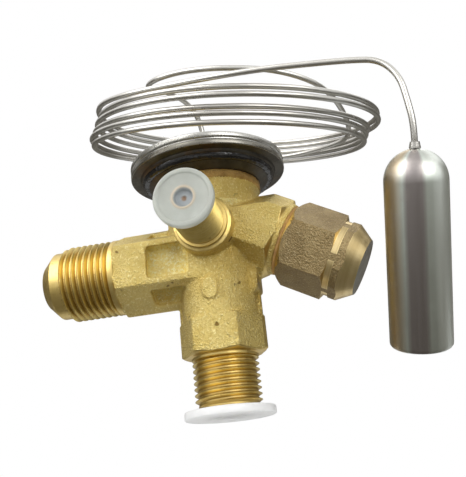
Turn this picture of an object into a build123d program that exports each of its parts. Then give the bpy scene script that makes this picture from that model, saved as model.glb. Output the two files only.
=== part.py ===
from build123d import *
import os
from math import cos, pi, radians, sin, sqrt, tan

# Angle expansion valve with a diaphragm head, capillary and sensing bulb.
# Millimetres. +Z runs up the main axis, with the head on top. The origin is
# the centre of the inlet's nose end, the outlet points along -X and the
# equaliser connection along -Y.

# ---- wrench hexagon shared by the inlet, the outlet arm and the branch ----
hex_across_flats = 18.5
hex_corner_r = hex_across_flats / sqrt(3)
hex_turned_angle = 24
hex_edge_r = 0.6

# ---- 45 degree flare connections: thread, root land, nose and bore ----
inlet_thread_r = 7.9375
inlet_root_r = 7.1
inlet_nose_r = 5.15
inlet_land = 0.35
inlet_bore_r = 4.8

outlet_thread_r = 9.525
outlet_root_r = 8.54
outlet_nose_r = 5.6
outlet_land = 2.3
outlet_bore_r = 5.15
outlet_reach = 43.5
outlet_axis_z = 37.3

equaliser_thread_r = 5.556
equaliser_root_r = 4.9
equaliser_nose_r = 2.9
equaliser_land = 0.6
equaliser_bore_r = 2.4
equaliser_reach = 29.0
equaliser_axis_z = 43.5

thread_lead = 0.6

# ---- body forging ----
inlet_hex_bottom = 14.0
inlet_hex_length = 8.5
arm_hex_face = 24.1
column_r = 9.3
chamber_wall_r = 11.2
chamber_swell_bottom = 39.5
chamber_swell_height = 3.0
neck_flare_bottom = 50.5
neck_flare_r = 12.5
neck_ring_bottom = 55.1
neck_ring_r = 13.0
neck_top = 57.1

equaliser_boss_r = 7.1
equaliser_boss_reach = 13.0
equaliser_collar_r = 6.15
equaliser_collar_length = 1.1

pocket_near = 5.0
pocket_far = 15.4
pocket_depth = 1.9
side_pocket_height = 8.0
slant_pocket_height = 5.4
slant_pocket_near = 6.5
pocket_draft = 6
pocket_corner_r = 0.9

flash_rib_reach = 10.2
flash_rib_thickness = 0.9
gusset_reach = 10.3
gusset_thickness = 8.0
gusset_bottom = 27.7
gusset_corner_r = 1.2

pad_width = 3.6
pad_height = 5.2
pad_centre_x = -0.3
pad_centre_z = 28.8
pad_rise = 0.6

# ---- slanted branch of the setting spindle ----
spindle_apex_z = 50.3
spindle_slope = 29.2
branch_start = 2.0
branch_across_flats = 19.0
branch_drop = 0.4
branch_hex_end = 19.3
branch_ridge_z = 53.1
branch_roof_angle = 30
branch_collar_r = 9.0
branch_collar_end = 20.6
spigot_r = 7.4
spigot_end = 28.2

# ---- passages inside the body ----
seat_shoulder_z = 25.1
throat_r = 4.0
throat_top_z = 39.0
outlet_bore_stop = 3.0
chamber_floor_z = 44.7
gear_ledge_z = 50.1
chamber_lower_r = 8.4
chamber_upper_r = 9.2
equaliser_bore_stop = 6.2

# ---- running clearances ----
pin_clearance = 0.05
running_clearance = 0.07
thread_clearance = 0.05
gear_clearance = 0.08
seat_clearance = 0.03

# ---- push pin, cone and orifice assembly ----
push_pin_r = 1.25
orifice_wall_gap = 0.05
orifice_bottom_z = 13.1
orifice_inner_r = 3.6
orifice_plate = 1.5
orifice_hole_r = 1.7
cone_guide_r = 2.4
cone_guide_length = 2.4
cone_top_above_seat = 0.7
retainer_thickness = 1.0
retainer_flow_hole_r = 0.55
retainer_hole_circle_r = 2.55
cone_spring_wire_r = 0.25
cone_spring_r = 1.75
cone_spring_turns = 3.0
spring_arcs_per_turn = 6
spring_wire_sides = 8
strainer_bottom_z = 5.2
strainer_r = 4.1
strainer_wall = 0.35
strainer_flange = 0.6

# ---- superheat spring and its setting gear ----
pinion_half_angle = 17.0
pinion_start = 5.2
pinion_end = 8.4
gear_bore_r = 4.58
gear_ring_r = 8.3
gear_flange_height = 1.2
seat_sleeve_bottom_z = 49.2
seat_flange_bottom_z = 52.5
seat_flange_thickness = 1.3
seat_flange_r = 7.9
seat_pin_hole_r = 1.7
superheat_wire_r = 0.65
superheat_spring_r = 6.3
superheat_turns = 2.6

# ---- setting spindle, gland and seal cap, by distance along the branch ----
stem_bore_r = 2.65
collar_bore_r = 3.65
collar_bore_start = 16.9
collar_thickness = 1.2
gland_bore_start = 18.2
gland_r = 5.0
gland_end = 25.0
spindle_shaft_r = 2.0
spindle_end = 27.0
driver_slot_width = 0.9
driver_slot_depth = 1.5
oring_section_r = 0.62
oring_position = 21.6
gasket_thickness = 0.7
gasket_outer_r = 8.9
cap_across_flats = 18.6
cap_hex_turn = 13.7
cap_end = 40.4
cap_end_r = 6.85
cap_mouth_r = 9.1
cap_groove_start = 33.0
cap_groove_width = 2.0
cap_groove_r = 9.34
cap_groove_lead = 0.5
cap_land_r = 9.6
cap_cone_start = 36.7
cap_thread_depth = 29.4
cap_pocket_r = 4.5
cap_pocket_end = 35.5

# ---- diaphragm head ----
head_rim_r = 19.7
head_rim_bottom = 60.45
head_step_r = 17.2
head_step_z = 59.85
cup_foot_r = 13.4
cup_wall = 1.4
diaphragm_z = 62.0
diaphragm_thickness = 0.25
diaphragm_wave = 0.35
rim_chamfer = 0.35
upper_rim_top = 63.88
dome_foot_r = 15.6
dome_shoulder_r = 9.5
dome_top_z = 67.4
dome_wall = 1.3
bead_inner_r = 15.2
bead_outer_r = 16.8
bead_height = 0.55
pad_plate_r = 12.0
pad_plate_thickness = 1.3
pad_to_diaphragm = 0.1
pad_hub_r = 5.4

# ---- caps on the open connections ----
eq_cap_r = 6.75
eq_cap_beyond_nose = 1.6
eq_cap_face = equaliser_reach + eq_cap_beyond_nose
eq_cap_thickness = 2.0
eq_cap_dish_r = 5.5
eq_cap_dish_depth = 0.3
eq_cap_gap = 0.12
eq_cap_stem_wall = 0.38
eq_cap_stem_depth = 6.0
plug_flange_r = 10.75
plug_flange_top = 1.5
plug_face_z = -0.4
plug_stem_top = 4.4
plug_wall = 0.6
plug_gap = 0.12

# ---- capillary and bulb ----
capillary_r = 0.65
tube_arc_share = 0.45
ferrule_r = 1.9
ferrule_height = 1.8
ferrule_top_z = dome_top_z + ferrule_height
ferrule_collar_r = 2.6
ferrule_collar_height = 0.7
coil_centre = (7.8, -0.5, 71.2)
coil_normal = (0.135, -0.295, 1.0)
coil_outer_r = 36.7
coil_inner_r = 32.6
coil_height = 8.8
bulb_r = 6.35
bulb_length = 40.0
bulb_foot_r = 1.0
bulb_top = Vector(48.6, -36.9, 42.6)
bulb_foot = Vector(44.3, -18.8, 7.3)
bulb_ferrule_r = 1.15
bulb_ferrule_length = 1.3
bulb_straight = 4.5
lead_straight = 7.6

# Free route of the capillary, from the head to the coil.
lead_points = [
    (0.0, 0.0, dome_top_z - dome_wall),
    (0.0, 0.0, dome_top_z - dome_wall + lead_straight),
    (-1.6, -4.6, 79.6),
    (-6.2, -12.0, 80.6),
    (-9.6, -19.0, 78.2),
    (-6.2, -25.2, 76.4),
    (2.6, -28.4, 75.2),
    (14.0, -28.8, 73.3),
    (25.0, -25.4, 71.9),
    (34.5, -17.0, 69.8),
    (40.0, -6.0, 67.5),
]

# Free route of the capillary, from the coil to the bulb.
bulb_down = (bulb_foot - bulb_top).normalized()
tail_points = [
    (-4.0, -34.8, 68.3),
    (8.4, -36.0, 67.5),
    (20.9, -36.8, 66.6),
    (32.3, -37.6, 65.0),
    (39.6, -38.3, 63.7),
    (44.9, -39.0, 62.2),
    (48.1, -39.6, 57.4),
    (48.7, -39.5, 51.6),
    bulb_top - bulb_down * bulb_straight,
    bulb_top,
]

parts_folder = "parts"
os.makedirs(parts_folder, exist_ok=True)


def turned(points, plane, axis, mode=Mode.ADD):
    # A lathe shape: a closed profile in the plane, turned about the axis.
    with BuildSketch(plane) as profile:
        with BuildLine():
            Polyline(*points, close=True)
        make_face()
    revolve(profile.sketch, axis=axis, mode=mode)


def drilled(radius, near, far, plane):
    # A round hole along the plane's normal, between two distances.
    with BuildSketch(plane.offset(near)) as hole:
        Circle(radius)
    extrude(hole.sketch, amount=far - near, mode=Mode.SUBTRACT)


def flare_stub(plane, axis, nose_r, root_r, land, thread_r, length):
    # Nose cone at 45 degrees, root land, then the thread's outside cylinder.
    nose_length = root_r - nose_r
    thread_start = nose_length + land
    turned(
        [
            (0, 0),
            (0, nose_r),
            (nose_length, root_r),
            (thread_start, root_r),
            (thread_start + thread_lead, thread_r),
            (length, thread_r),
            (length, 0),
        ],
        plane,
        axis,
    )


def corner_radii(points, share):
    # Arcs that take this share of the shorter run on each side of a corner.
    radii = []
    for before, here, after in zip(points, points[1:], points[2:]):
        first = Vector(here) - Vector(before)
        second = Vector(after) - Vector(here)
        half_turn = radians(first.get_angle(second)) / 2
        radii.append(share * min(first.length, second.length) / tan(half_turn))
    return radii


def bent_wire(points, radii, wire_r, sides=0):
    # A wire along straight runs joined by arcs; gives the route's length.
    with BuildLine() as route:
        FilletPolyline(*points, radius=radii)
    with BuildSketch(Plane(origin=route.line @ 0, z_dir=route.line % 0)) as section:
        if sides:
            RegularPolygon(wire_r, sides)
        else:
            Circle(wire_r)
    sweep(section.sketch, path=route.line)
    return sum(edge.length for edge in route.edges())


def coil_spring(wire_r, mean_r, bottom, top, turns):
    # Wire wound on a circle, from one seat to the other.
    step = 2 * pi / spring_arcs_per_turn
    corner_count = round(turns * spring_arcs_per_turn)
    rise = (top - bottom - 2 * wire_r) / (corner_count * step)
    start_z = bottom + wire_r
    points = [(mean_r, 0, start_z)]
    for index in range(corner_count):
        angle = (index + 0.5) * step
        corner_r = mean_r / cos(step / 2)
        points.append((corner_r * cos(angle), corner_r * sin(angle), start_z + rise * angle))
    end = corner_count * step
    points.append((mean_r * cos(end), mean_r * sin(end), start_z + rise * end))
    radii = corner_radii(points, 0.49)
    radii[0] = radii[1]
    radii[-1] = radii[1]
    bent_wire(points, radii, wire_r, spring_wire_sides)


def keep(shape, name):
    shape.part.label = name
    export_step(shape.part, f"{parts_folder}/{name}.step")


# ---- shared planes and axes ----
spindle_dir = Vector(cos(radians(spindle_slope)), 0, -sin(radians(spindle_slope)))
spindle_origin = Vector(0, 0, spindle_apex_z)
spindle_cross = Plane(origin=spindle_origin, x_dir=(0, 1, 0), z_dir=spindle_dir)
spindle_profile = Plane(origin=spindle_origin, x_dir=spindle_dir, z_dir=(0, -1, 0))
spindle_axis = Axis(spindle_origin, spindle_dir)

inlet_profile = Plane(origin=(0, 0, 0), x_dir=(0, 0, 1), z_dir=(0, 1, 0))
outlet_profile = Plane(origin=(-outlet_reach, 0, outlet_axis_z), x_dir=(1, 0, 0), z_dir=(0, -1, 0))
outlet_axis = Axis((0, 0, outlet_axis_z), (1, 0, 0))
outlet_cross = Plane(origin=(0, 0, outlet_axis_z), x_dir=(0, 1, 0), z_dir=(-1, 0, 0))
equaliser_profile = Plane(
    origin=(0, -equaliser_reach, equaliser_axis_z), x_dir=(0, 1, 0), z_dir=(1, 0, 0)
)
equaliser_axis = Axis((0, 0, equaliser_axis_z), (0, 1, 0))
equaliser_cross = Plane(origin=(0, 0, equaliser_axis_z), x_dir=(1, 0, 0), z_dir=(0, -1, 0))

corner_rise = (hex_corner_r + 1 - hex_across_flats / 2) * tan(radians(hex_turned_angle))
flat_r = hex_across_flats / 2
branch_corner_r = branch_across_flats / sqrt(3)
branch_corner_rise = (branch_corner_r + 1 - flat_r) * tan(radians(hex_turned_angle))
roof_half_width = branch_across_flats
roof_drop = roof_half_width * tan(radians(branch_roof_angle))

# ---- valve body: one brass forging with its machined faces ----
with BuildPart() as valve_body:
    # Hexagonal branch on the slanted axis, its top a level gable under the neck.
    with BuildSketch(spindle_cross.offset(branch_start)):
        with Locations((0, -branch_drop)):
            RegularPolygon(branch_corner_r, 6, rotation=30)
        fillet(vertices(), hex_edge_r)
    extrude(amount=branch_hex_end - branch_start)
    with BuildSketch(Plane.YZ):
        with BuildLine():
            Polyline(
                (0, branch_ridge_z),
                (roof_half_width, branch_ridge_z - roof_drop),
                (roof_half_width, branch_ridge_z + roof_half_width),
                (-roof_half_width, branch_ridge_z + roof_half_width),
                (-roof_half_width, branch_ridge_z - roof_drop),
                close=True,
            )
        make_face()
    extrude(amount=branch_hex_end + spindle_apex_z, both=True, mode=Mode.SUBTRACT)
    turned(
        [
            (branch_hex_end, flat_r),
            (branch_hex_end - branch_corner_rise, branch_corner_r + 1),
            (branch_hex_end, branch_corner_r + 1),
        ],
        spindle_profile,
        spindle_axis,
        Mode.SUBTRACT,
    )
    # Hexagonal arm to the outlet, with its corners turned off at the outer face.
    with BuildSketch(outlet_cross):
        RegularPolygon(hex_corner_r, 6, rotation=30)
        fillet(vertices(), hex_edge_r)
    extrude(amount=arm_hex_face)
    turned(
        [
            (outlet_reach - arm_hex_face, flat_r),
            (outlet_reach - arm_hex_face, hex_corner_r + 1),
            (outlet_reach - arm_hex_face + corner_rise, hex_corner_r + 1),
        ],
        outlet_profile,
        outlet_axis,
        Mode.SUBTRACT,
    )
    # Core pockets in the six faces of the arm, open towards the column.
    for face_index in range(6):
        face_angle = radians(60 * face_index)
        outward = Vector(0, cos(face_angle), sin(face_angle))
        on_side = face_index % 3 == 0
        near = pocket_near if on_side else slant_pocket_near
        height = side_pocket_height if on_side else slant_pocket_height
        middle = Vector(-(near + pocket_far) / 2, 0, outlet_axis_z) + outward * flat_r
        with BuildSketch(Plane(origin=middle, x_dir=(1, 0, 0), z_dir=-outward)):
            RectangleRounded(pocket_far - near, height, pocket_corner_r)
        extrude(amount=pocket_depth, taper=pocket_draft, mode=Mode.SUBTRACT)
    # Inlet hexagon, with its corners turned off below.
    with BuildSketch(Plane.XY.offset(inlet_hex_bottom)):
        RegularPolygon(hex_corner_r, 6)
        fillet(vertices(), hex_edge_r)
    extrude(amount=inlet_hex_length)
    turned(
        [
            (inlet_hex_bottom, flat_r),
            (inlet_hex_bottom, hex_corner_r + 1),
            (inlet_hex_bottom + corner_rise, hex_corner_r + 1),
        ],
        inlet_profile,
        Axis.Z,
        Mode.SUBTRACT,
    )
    # Column, spring chamber and machined neck ring under the head.
    turned(
        [
            (inlet_hex_bottom, 0),
            (inlet_hex_bottom, column_r - 1),
            (inlet_hex_bottom + inlet_hex_length / 2, column_r),
            (chamber_swell_bottom, column_r),
            (chamber_swell_bottom + chamber_swell_height, chamber_wall_r),
            (neck_flare_bottom, chamber_wall_r),
            (neck_ring_bottom, neck_flare_r),
            (neck_ring_bottom, neck_ring_r),
            (neck_top, neck_ring_r),
            (neck_top, 0),
        ],
        inlet_profile,
        Axis.Z,
    )
    # Equaliser boss with its turned collar.
    with BuildSketch(equaliser_cross):
        Circle(equaliser_boss_r)
    extrude(amount=equaliser_boss_reach)
    with BuildSketch(equaliser_cross.offset(equaliser_boss_reach)):
        Circle(equaliser_collar_r)
    extrude(amount=equaliser_collar_length)
    # Flash rib on the parting line under the arm, and below the gusset.
    with BuildSketch(Plane.XZ):
        with BuildLine():
            Polyline(
                (-flash_rib_reach, inlet_hex_bottom + inlet_hex_length),
                (-flash_rib_reach, outlet_axis_z),
                (flash_rib_reach, outlet_axis_z),
                (flash_rib_reach, inlet_hex_bottom + inlet_hex_length),
                close=True,
            )
        make_face()
    extrude(amount=flash_rib_thickness / 2, both=True)
    # Gusset between the column and the slanted branch.
    with BuildSketch(Plane.XZ):
        with BuildLine():
            Polyline(
                (0, gusset_bottom),
                (gusset_reach - gusset_corner_r, gusset_bottom),
                (gusset_reach, gusset_bottom + gusset_corner_r),
                (gusset_reach, spindle_apex_z - gusset_reach * tan(radians(spindle_slope))),
                (0, spindle_apex_z),
                close=True,
            )
        make_face()
    extrude(amount=gusset_thickness / 2, both=True)
    # Raised pad on the front of the column.
    with BuildSketch(Plane.XZ):
        with Locations((pad_centre_x, pad_centre_z)):
            RectangleRounded(pad_width, pad_height, pad_width / 2.3)
    extrude(amount=column_r + pad_rise)
    # Turned connections.
    flare_stub(
        inlet_profile,
        Axis.Z,
        inlet_nose_r,
        inlet_root_r,
        inlet_land,
        inlet_thread_r,
        inlet_hex_bottom + 1,
    )
    flare_stub(
        outlet_profile,
        outlet_axis,
        outlet_nose_r,
        outlet_root_r,
        outlet_land,
        outlet_thread_r,
        outlet_reach - arm_hex_face,
    )
    flare_stub(
        equaliser_profile,
        equaliser_axis,
        equaliser_nose_r,
        equaliser_root_r,
        equaliser_land,
        equaliser_thread_r,
        equaliser_reach - equaliser_boss_reach,
    )
    # Turned collar and threaded spigot of the branch.
    turned(
        [
            (branch_hex_end - 1, 0),
            (branch_hex_end - 1, flat_r - 0.2),
            (branch_hex_end, flat_r - 0.05),
            (branch_collar_end - 0.5, branch_collar_r + 0.05),
            (branch_collar_end, branch_collar_r),
            (branch_collar_end, spigot_r),
            (spigot_end - thread_lead, spigot_r),
            (spigot_end, spigot_r - thread_lead),
            (spigot_end, 0),
        ],
        spindle_profile,
        spindle_axis,
    )
    # Passages.
    drilled(inlet_bore_r, 0, seat_shoulder_z, Plane.XY)
    drilled(throat_r, seat_shoulder_z, throat_top_z, Plane.XY)
    drilled(outlet_bore_r, -outlet_bore_stop, outlet_reach, outlet_cross)
    drilled(push_pin_r + pin_clearance, throat_top_z - 2, chamber_floor_z, Plane.XY)
    drilled(chamber_lower_r, chamber_floor_z, gear_ledge_z, Plane.XY)
    drilled(chamber_upper_r, gear_ledge_z, neck_top, Plane.XY)
    drilled(equaliser_bore_r, equaliser_bore_stop, equaliser_reach, equaliser_cross)
    drilled(stem_bore_r, pinion_start, collar_bore_start, spindle_cross)
    drilled(collar_bore_r, collar_bore_start, gland_bore_start, spindle_cross)
    drilled(gland_r + thread_clearance, gland_bore_start, spigot_end, spindle_cross)
keep(valve_body, "valve_body")

# ---- orifice body: a sleeve with the seat plate at its top ----
cone_top_z = seat_shoulder_z - orifice_plate + cone_top_above_seat
cone_shoulder_z = cone_top_z - (cone_guide_r - push_pin_r + 0.05)
plate_under_z = seat_shoulder_z - orifice_plate
cone_r_at_plate = push_pin_r - 0.05 + (cone_top_z - plate_under_z)
seat_top_z = cone_top_z - (orifice_hole_r - seat_clearance - push_pin_r + 0.05)
orifice_outer_r = inlet_bore_r - orifice_wall_gap
with BuildPart() as orifice_body:
    turned(
        [
            (orifice_bottom_z, orifice_inner_r),
            (orifice_bottom_z, orifice_outer_r),
            (seat_shoulder_z, orifice_outer_r),
            (seat_shoulder_z, orifice_hole_r),
            (seat_top_z, orifice_hole_r),
            (plate_under_z, cone_r_at_plate + seat_clearance),
            (plate_under_z, orifice_inner_r),
        ],
        inlet_profile,
        Axis.Z,
    )
keep(orifice_body, "orifice_body")

# ---- valve cone: seats from below, guided by its skirt ----
cone_bottom_z = cone_shoulder_z - cone_guide_length
with BuildPart() as valve_cone:
    turned(
        [
            (cone_top_z, 0),
            (cone_top_z, push_pin_r - 0.05),
            (cone_shoulder_z, cone_guide_r),
            (cone_bottom_z, cone_guide_r),
            (cone_bottom_z, cone_spring_r - cone_spring_wire_r - 0.1),
            (cone_bottom_z - 1.2, cone_spring_r - cone_spring_wire_r - 0.1),
            (cone_bottom_z - 1.2, 0),
        ],
        inlet_profile,
        Axis.Z,
    )
keep(valve_cone, "valve_cone")

# ---- spring retainer pressed into the sleeve, with flow holes ----
retainer_z = orifice_bottom_z + 1.0
with BuildPart() as spring_retainer:
    with BuildSketch(Plane.XY.offset(retainer_z)):
        Circle(orifice_inner_r)
        Circle(0.9, mode=Mode.SUBTRACT)
        with PolarLocations(retainer_hole_circle_r, 6):
            Circle(retainer_flow_hole_r, mode=Mode.SUBTRACT)
    extrude(amount=retainer_thickness)
keep(spring_retainer, "spring_retainer")


with BuildPart() as cone_spring:
    coil_spring(
        cone_spring_wire_r,
        cone_spring_r,
        retainer_z + retainer_thickness,
        cone_bottom_z,
        cone_spring_turns,
    )
keep(cone_spring, "cone_spring")

# ---- strainer basket below the orifice body ----
with BuildPart() as strainer:
    turned(
        [
            (strainer_bottom_z, 0),
            (strainer_bottom_z, strainer_r),
            (orifice_bottom_z - strainer_flange, strainer_r),
            (orifice_bottom_z - strainer_flange, orifice_outer_r),
            (orifice_bottom_z, orifice_outer_r),
            (orifice_bottom_z, strainer_r - strainer_wall),
            (strainer_bottom_z + strainer_wall, strainer_r - strainer_wall),
            (strainer_bottom_z + strainer_wall, 0),
        ],
        inlet_profile,
        Axis.Z,
    )
keep(strainer, "strainer")

# ---- pressure pad and push pin ----
pad_top_z = diaphragm_z - pad_to_diaphragm
pad_under_z = pad_top_z - pad_plate_thickness
with BuildPart() as pressure_pad:
    turned(
        [
            (pad_under_z, 0),
            (pad_under_z, pad_plate_r - 0.6),
            (pad_under_z + 0.6, pad_plate_r),
            (pad_top_z - 0.3, pad_plate_r),
            (pad_top_z, pad_plate_r - 0.6),
            (pad_top_z, 0),
        ],
        inlet_profile,
        Axis.Z,
    )
    # Spigot that centres the spring.
    with BuildSketch(Plane.XY.offset(pad_under_z)):
        Circle(pad_hub_r)
    extrude(amount=-0.8)
    drilled(push_pin_r, pad_under_z - 1, pad_under_z + 0.5, Plane.XY)
keep(pressure_pad, "pressure_pad")

with BuildPart() as push_pin:
    with BuildSketch(Plane.XY.offset(cone_top_z)):
        Circle(push_pin_r)
    extrude(amount=pad_under_z + 0.5 - cone_top_z)
keep(push_pin, "push_pin")

# ---- setting gear: ring with a bevelled underside, held down on the ledge ----
gear_face_tan = tan(radians(spindle_slope - pinion_half_angle))
gear_face_lift = gear_clearance
gear_inner_face_z = spindle_apex_z - gear_bore_r * gear_face_tan + gear_face_lift
gear_outer_face_z = spindle_apex_z - gear_ring_r * gear_face_tan + gear_face_lift
gear_top_z = gear_ledge_z + gear_flange_height
with BuildPart() as setting_gear:
    turned(
        [
            (gear_inner_face_z, gear_bore_r),
            (gear_outer_face_z, gear_ring_r),
            (gear_ledge_z, gear_ring_r),
            (gear_ledge_z, chamber_upper_r - running_clearance),
            (gear_top_z, chamber_upper_r - running_clearance),
            (gear_top_z, gear_bore_r),
        ],
        inlet_profile,
        Axis.Z,
    )
keep(setting_gear, "setting_gear")

# ---- spring seat: flange under the spring and sleeve threaded in the gear ----
seat_top_flange_z = seat_flange_bottom_z + seat_flange_thickness
with BuildPart() as spring_seat:
    turned(
        [
            (seat_sleeve_bottom_z, seat_pin_hole_r),
            (seat_sleeve_bottom_z, gear_bore_r - thread_clearance),
            (seat_flange_bottom_z, gear_bore_r - thread_clearance),
            (seat_flange_bottom_z, seat_flange_r),
            (seat_top_flange_z, seat_flange_r),
            (seat_top_flange_z, seat_pin_hole_r),
        ],
        inlet_profile,
        Axis.Z,
    )
keep(spring_seat, "spring_seat")

with BuildPart() as superheat_spring:
    coil_spring(
        superheat_wire_r, superheat_spring_r, seat_top_flange_z, pad_under_z, superheat_turns
    )
keep(superheat_spring, "superheat_spring")

# ---- setting spindle: pinion, bearing stem, collar and driver end ----
pinion_tan = tan(radians(pinion_half_angle))
stem_r = stem_bore_r - running_clearance
collar_start = collar_bore_start + running_clearance
collar_end = collar_start + collar_thickness
with BuildPart() as setting_spindle:
    turned(
        [
            (pinion_start, 0),
            (pinion_start, pinion_start * pinion_tan),
            (pinion_end, pinion_end * pinion_tan - 0.06),
            (pinion_end + 0.4, stem_r),
            (collar_start, stem_r),
            (collar_start, collar_bore_r - running_clearance),
            (collar_end, collar_bore_r - running_clearance),
            (collar_end, spindle_shaft_r),
            (spindle_end - 0.3, spindle_shaft_r),
            (spindle_end, spindle_shaft_r - 0.3),
            (spindle_end, 0),
        ],
        spindle_profile,
        spindle_axis,
    )
    with BuildSketch(spindle_cross.offset(spindle_end - driver_slot_depth)):
        Rectangle(3 * spindle_shaft_r, driver_slot_width)
    extrude(amount=2 * driver_slot_depth, mode=Mode.SUBTRACT)
keep(setting_spindle, "setting_spindle")

# ---- gland nut that holds the spindle in, with the groove of its seal ----
gland_start = collar_end + running_clearance
gland_hole_r = spindle_shaft_r + running_clearance
groove_outer_r = spindle_shaft_r + 2 * oring_section_r + 0.1
with BuildPart() as spindle_gland:
    turned(
        [
            (gland_start, gland_hole_r),
            (gland_start, gland_r),
            (gland_end - 0.4, gland_r),
            (gland_end, gland_r - 0.4),
            (gland_end, gland_hole_r),
            (oring_position + oring_section_r + 0.1, gland_hole_r),
            (oring_position + oring_section_r + 0.1, groove_outer_r),
            (oring_position - oring_section_r - 0.1, groove_outer_r),
            (oring_position - oring_section_r - 0.1, gland_hole_r),
        ],
        spindle_profile,
        spindle_axis,
    )
    # Two holes for a pin spanner.
    with BuildSketch(spindle_cross.offset(gland_end - 1.5)):
        with PolarLocations((gland_r + spindle_shaft_r) / 2, 2):
            Circle(0.55)
    extrude(amount=2, mode=Mode.SUBTRACT)
keep(spindle_gland, "spindle_gland")

with BuildPart() as spindle_seal_ring:
    with BuildSketch(spindle_profile):
        with Locations((oring_position, spindle_shaft_r + oring_section_r + 0.05)):
            RegularPolygon(oring_section_r, 12)
    revolve(axis=spindle_axis)
keep(spindle_seal_ring, "spindle_seal_ring")

# ---- seal cap and its gasket ----
gasket_end = branch_collar_end + gasket_thickness
cap_bore_r = spigot_r + thread_clearance
cap_corner_r = cap_across_flats / sqrt(3)
with BuildPart() as seal_cap_gasket:
    turned(
        [
            (branch_collar_end, cap_bore_r),
            (branch_collar_end, gasket_outer_r),
            (gasket_end, gasket_outer_r),
            (gasket_end, cap_bore_r),
        ],
        spindle_profile,
        spindle_axis,
    )
keep(seal_cap_gasket, "seal_cap_gasket")

clear_r = cap_corner_r + 1
with BuildPart() as seal_cap:
    with BuildSketch(spindle_cross.offset(gasket_end)):
        RegularPolygon(cap_corner_r, 6, rotation=90 + cap_hex_turn)
    extrude(amount=cap_end - gasket_end)
    turned(
        [
            (gasket_end, cap_mouth_r),
            (gasket_end + clear_r - cap_mouth_r, clear_r),
            (gasket_end, clear_r),
        ],
        spindle_profile,
        spindle_axis,
        Mode.SUBTRACT,
    )
    turned(
        [
            (cap_groove_start, cap_corner_r),
            (cap_groove_start + cap_groove_lead, cap_groove_r),
            (cap_groove_start + cap_groove_width, cap_groove_r),
            (cap_groove_start + cap_groove_width, cap_land_r),
            (cap_cone_start, cap_land_r),
            (cap_end, cap_end_r),
            (cap_end, clear_r),
            (cap_groove_start, clear_r),
        ],
        spindle_profile,
        spindle_axis,
        Mode.SUBTRACT,
    )
    drilled(cap_bore_r, gasket_end, cap_thread_depth, spindle_cross)
    drilled(cap_pocket_r, cap_thread_depth, cap_pocket_end, spindle_cross)
keep(seal_cap, "seal_cap")

# ---- head: two cups clamping the diaphragm ----
cup_slope = (head_step_z - neck_top) / (head_step_r - cup_foot_r)
cup_inside_top_r = head_step_r - 0.8
with BuildPart() as head_lower_cup:
    turned(
        [
            (neck_top, chamber_upper_r),
            (neck_top, cup_foot_r),
            (head_step_z, head_step_r),
            (head_rim_bottom, head_step_r + 0.15),
            (head_rim_bottom, head_rim_r - 0.2),
            (head_rim_bottom + 0.2, head_rim_r),
            (diaphragm_z - rim_chamfer, head_rim_r),
            (diaphragm_z, head_rim_r - rim_chamfer),
            (diaphragm_z, cup_inside_top_r),
            (head_step_z + cup_wall * 0.9, cup_inside_top_r),
            (neck_top + cup_wall, cup_foot_r - cup_wall * 0.55),
            (neck_top + cup_wall, chamber_upper_r),
        ],
        inlet_profile,
        Axis.Z,
    )
keep(head_lower_cup, "head_lower_cup")

diaphragm_top_z = diaphragm_z + diaphragm_thickness
with BuildPart() as diaphragm:
    wave_radii = (12.4, 13.3, 14.2, 15.1)
    wave = [(diaphragm_z, head_rim_r - rim_chamfer)]
    for index, wave_r in enumerate(reversed(wave_radii)):
        wave.append((diaphragm_z + (index % 2) * diaphragm_wave, wave_r))
    wave.append((diaphragm_z, wave_radii[0] - 0.9))
    under = wave + [(diaphragm_z, 0)]
    over = [(z + diaphragm_thickness, r) for z, r in reversed(under)]
    turned(under + over, inlet_profile, Axis.Z)
keep(diaphragm, "diaphragm")

with BuildPart() as head_upper_cup:
    turned(
        [
            (diaphragm_top_z, cup_inside_top_r),
            (diaphragm_top_z, head_rim_r - rim_chamfer),
            (diaphragm_top_z + rim_chamfer, head_rim_r),
            (upper_rim_top - 0.3, head_rim_r),
            (upper_rim_top, head_rim_r - 0.3),
            (upper_rim_top, dome_foot_r + 0.6),
            (upper_rim_top + 0.4, dome_foot_r),
            (dome_top_z - 0.6, dome_shoulder_r + 1.2),
            (dome_top_z, dome_shoulder_r),
            (dome_top_z, capillary_r),
            (dome_top_z - dome_wall, capillary_r),
            (dome_top_z - dome_wall, dome_shoulder_r - 0.4),
            (upper_rim_top - 0.3, dome_foot_r - 0.8),
        ],
        inlet_profile,
        Axis.Z,
    )
keep(head_upper_cup, "head_upper_cup")

bead_z = neck_top + (bead_inner_r - cup_foot_r) * cup_slope
bead_end_z = neck_top + (bead_outer_r - cup_foot_r) * cup_slope
bead_middle = ((bead_z + bead_end_z) / 2 - bead_height, (bead_inner_r + bead_outer_r) / 2 + 0.35)
with BuildPart() as head_bead:
    with BuildSketch(inlet_profile):
        with BuildLine():
            ThreePointArc((bead_z, bead_inner_r), bead_middle, (bead_end_z, bead_outer_r))
            Line((bead_end_z, bead_outer_r), (bead_z, bead_inner_r))
        make_face()
    revolve(axis=Axis.Z)
keep(head_bead, "head_bead")

# ---- capillary ferrule on the dome ----
with BuildPart() as capillary_ferrule:
    turned(
        [
            (dome_top_z, capillary_r),
            (dome_top_z, ferrule_collar_r),
            (dome_top_z + ferrule_collar_height, ferrule_collar_r),
            (dome_top_z + ferrule_collar_height, ferrule_r),
            (ferrule_top_z, capillary_r + 0.3),
            (ferrule_top_z, capillary_r),
        ],
        inlet_profile,
        Axis.Z,
    )
keep(capillary_ferrule, "capillary_ferrule")

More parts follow.
